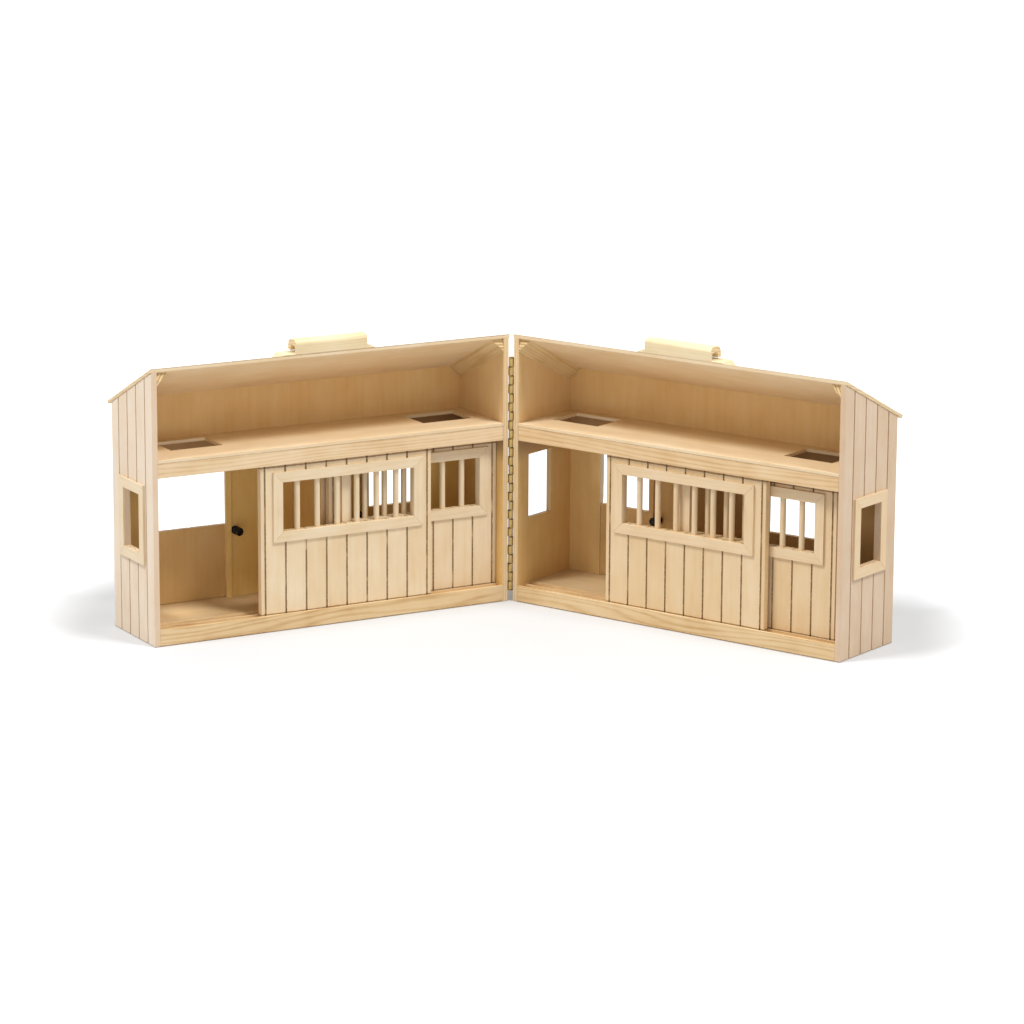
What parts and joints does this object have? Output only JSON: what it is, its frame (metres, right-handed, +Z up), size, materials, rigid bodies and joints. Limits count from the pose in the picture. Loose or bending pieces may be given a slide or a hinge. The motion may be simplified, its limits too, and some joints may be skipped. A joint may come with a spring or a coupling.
{
  "type": "toy barn",
  "caption": "Wooden toy barn in two hinged halves that fold shut into a gabled box, with sliding barred stall doors, split stable doors at the back, hay lofts with hatches and a carry handle.",
  "frame": {"origin": "centre of the outer box of the opened barn, on the surface that it stands on", "axes": "+X to the right along the longest side, +Y away from the open fronts, +Z up"},
  "size_m": [0.6782, 0.2944, 0.2514],
  "materials": {
    "birch_ply": "satin",
    "pine": "satin",
    "brass": "satin",
    "black_plastic": "gloss"
  },
  "bodies": {
    "left_half": {"left_inner_end_wall": "birch_ply", "left_outer_end_wall": "birch_ply", "left_back_wall": "birch_ply", "left_roof": "birch_ply", "left_loft_floor": "birch_ply", "left_loft_rail": "pine", "left_base_rail": "pine", "left_stall_floor": "birch_ply", "left_stall_divider": "birch_ply", "left_roof_cleats": "pine", "left_end_window_trim": "pine", "left_carry_handle": "pine", "left_piano_hinge_leaf": "brass", "piano_hinge_pin": "brass", "left_inner_doorway_hinges": "brass", "left_outer_doorway_hinges": "brass"},
    "right_half": {"right_inner_end_wall": "birch_ply", "right_outer_end_wall": "birch_ply", "right_back_wall": "birch_ply", "right_roof": "birch_ply", "right_loft_floor": "birch_ply", "right_loft_rail": "pine", "right_base_rail": "pine", "right_stall_floor": "birch_ply", "right_stall_divider": "birch_ply", "right_roof_cleats": "pine", "right_end_window_trim": "pine", "right_carry_handle": "pine", "right_piano_hinge_leaf": "brass", "right_inner_doorway_hinges": "brass", "right_outer_doorway_hinges": "brass"},
    "left_front_door": {"left_front_door": "birch_ply", "left_front_door_window": "pine"},
    "left_rear_door": {"left_rear_door": "birch_ply", "left_rear_door_window": "pine"},
    "right_front_door": {"right_front_door": "birch_ply", "right_front_door_window": "pine"},
    "right_rear_door": {"right_rear_door": "birch_ply", "right_rear_door_window": "pine"},
    "left_inner_upper_leaf": {"left_inner_upper_leaf": "birch_ply", "left_inner_upper_plate": "brass"},
    "left_inner_lower_leaf": {"left_inner_lower_leaf": "birch_ply", "left_inner_lower_plate": "brass"},
    "left_outer_upper_leaf": {"left_outer_upper_leaf": "birch_ply", "left_outer_upper_plate": "brass"},
    "left_outer_lower_leaf": {"left_outer_lower_leaf": "birch_ply", "left_outer_lower_plate": "brass"},
    "right_inner_upper_leaf": {"right_inner_upper_leaf": "birch_ply", "right_inner_upper_plate": "brass"},
    "right_inner_lower_leaf": {"right_inner_lower_leaf": "birch_ply", "right_inner_lower_plate": "brass"},
    "right_outer_upper_leaf": {"right_outer_upper_leaf": "birch_ply", "right_outer_upper_plate": "brass"},
    "right_outer_lower_leaf": {"right_outer_lower_leaf": "birch_ply", "right_outer_lower_plate": "brass"},
    "left_inner_turn_knob": {"left_inner_turn_knob": "black_plastic"},
    "left_outer_turn_knob": {"left_outer_turn_knob": "black_plastic"},
    "right_inner_turn_knob": {"right_inner_turn_knob": "black_plastic"},
    "right_outer_turn_knob": {"right_outer_turn_knob": "black_plastic"}
  },
  "joints": [
    {"name": "fold", "type": "hinge", "parent": "left_half", "child": "right_half", "pos_m": [0, 0.0394, 0], "axis": [0, 0, 1], "range_deg": [-114, 66]},
    {"name": "left_front_door_slide", "type": "slide", "parent": "left_half", "child": "left_front_door", "axis": [-0.8387, -0.5446, 0], "range_m": [-0.0695, 0.0955]},
    {"name": "left_rear_door_slide", "type": "slide", "parent": "left_half", "child": "left_rear_door", "axis": [-0.8387, -0.5446, 0], "range_m": [0, 0.165]},
    {"name": "right_front_door_slide", "type": "slide", "parent": "right_half", "child": "right_front_door", "axis": [0.8387, -0.5446, 0], "range_m": [-0.0925, 0.0725]},
    {"name": "right_rear_door_slide", "type": "slide", "parent": "right_half", "child": "right_rear_door", "axis": [0.8387, -0.5446, 0], "range_m": [-0.157, 0.008]},
    {"name": "left_inner_upper_swing", "type": "hinge", "parent": "left_half", "child": "left_inner_upper_leaf", "pos_m": [-0.08281, 0.08757, 0.10875], "axis": [0, 0, -1], "range_deg": [-130, 0]},
    {"name": "left_inner_lower_swing", "type": "hinge", "parent": "left_half", "child": "left_inner_lower_leaf", "pos_m": [-0.08281, 0.08757, 0.047], "axis": [0, 0, -1], "range_deg": [0, 130]},
    {"name": "left_outer_upper_swing", "type": "hinge", "parent": "left_half", "child": "left_outer_upper_leaf", "pos_m": [-0.30623, -0.05752, 0.10875], "axis": [0, 0, 1], "range_deg": [-88, 87]},
    {"name": "left_outer_lower_swing", "type": "hinge", "parent": "left_half", "child": "left_outer_lower_leaf", "pos_m": [-0.30623, -0.05752, 0.047], "axis": [0, 0, 1], "range_deg": [0, 175]},
    {"name": "right_inner_upper_swing", "type": "hinge", "parent": "right_half", "child": "right_inner_upper_leaf", "pos_m": [0.07778, 0.09084, 0.10875], "axis": [0, 0, 1], "range_deg": [-175, 0]},
    {"name": "right_inner_lower_swing", "type": "hinge", "parent": "right_half", "child": "right_inner_lower_leaf", "pos_m": [0.07778, 0.09084, 0.047], "axis": [0, 0, 1], "range_deg": [0, 175]},
    {"name": "right_outer_upper_swing", "type": "hinge", "parent": "right_half", "child": "right_outer_upper_leaf", "pos_m": [0.28946, -0.04663, 0.10875], "axis": [0, 0, -1], "range_deg": [-88, 87]},
    {"name": "right_outer_lower_swing", "type": "hinge", "parent": "right_half", "child": "right_outer_lower_leaf", "pos_m": [0.28946, -0.04663, 0.047], "axis": [0, 0, -1], "range_deg": [0, 175]},
    {"name": "left_inner_knob_turn", "type": "hinge", "parent": "left_half", "child": "left_inner_turn_knob", "pos_m": [-0.1353, 0.04501, 0.0735], "axis": [0.5446, -0.8387, 0], "continuous": true},
    {"name": "left_outer_knob_turn", "type": "hinge", "parent": "left_half", "child": "left_outer_turn_knob", "pos_m": [-0.23594, -0.02034, 0.0735], "axis": [-0.5446, 0.8387, 0], "continuous": true},
    {"name": "right_inner_knob_turn", "type": "hinge", "parent": "right_half", "child": "right_inner_turn_knob", "pos_m": [0.13027, 0.04828, 0.0735], "axis": [0.5446, 0.8387, 0], "continuous": true},
    {"name": "right_outer_knob_turn", "type": "hinge", "parent": "right_half", "child": "right_outer_turn_knob", "pos_m": [0.21917, -0.00945, 0.0735], "axis": [-0.5446, -0.8387, 0], "continuous": true}
  ]
}
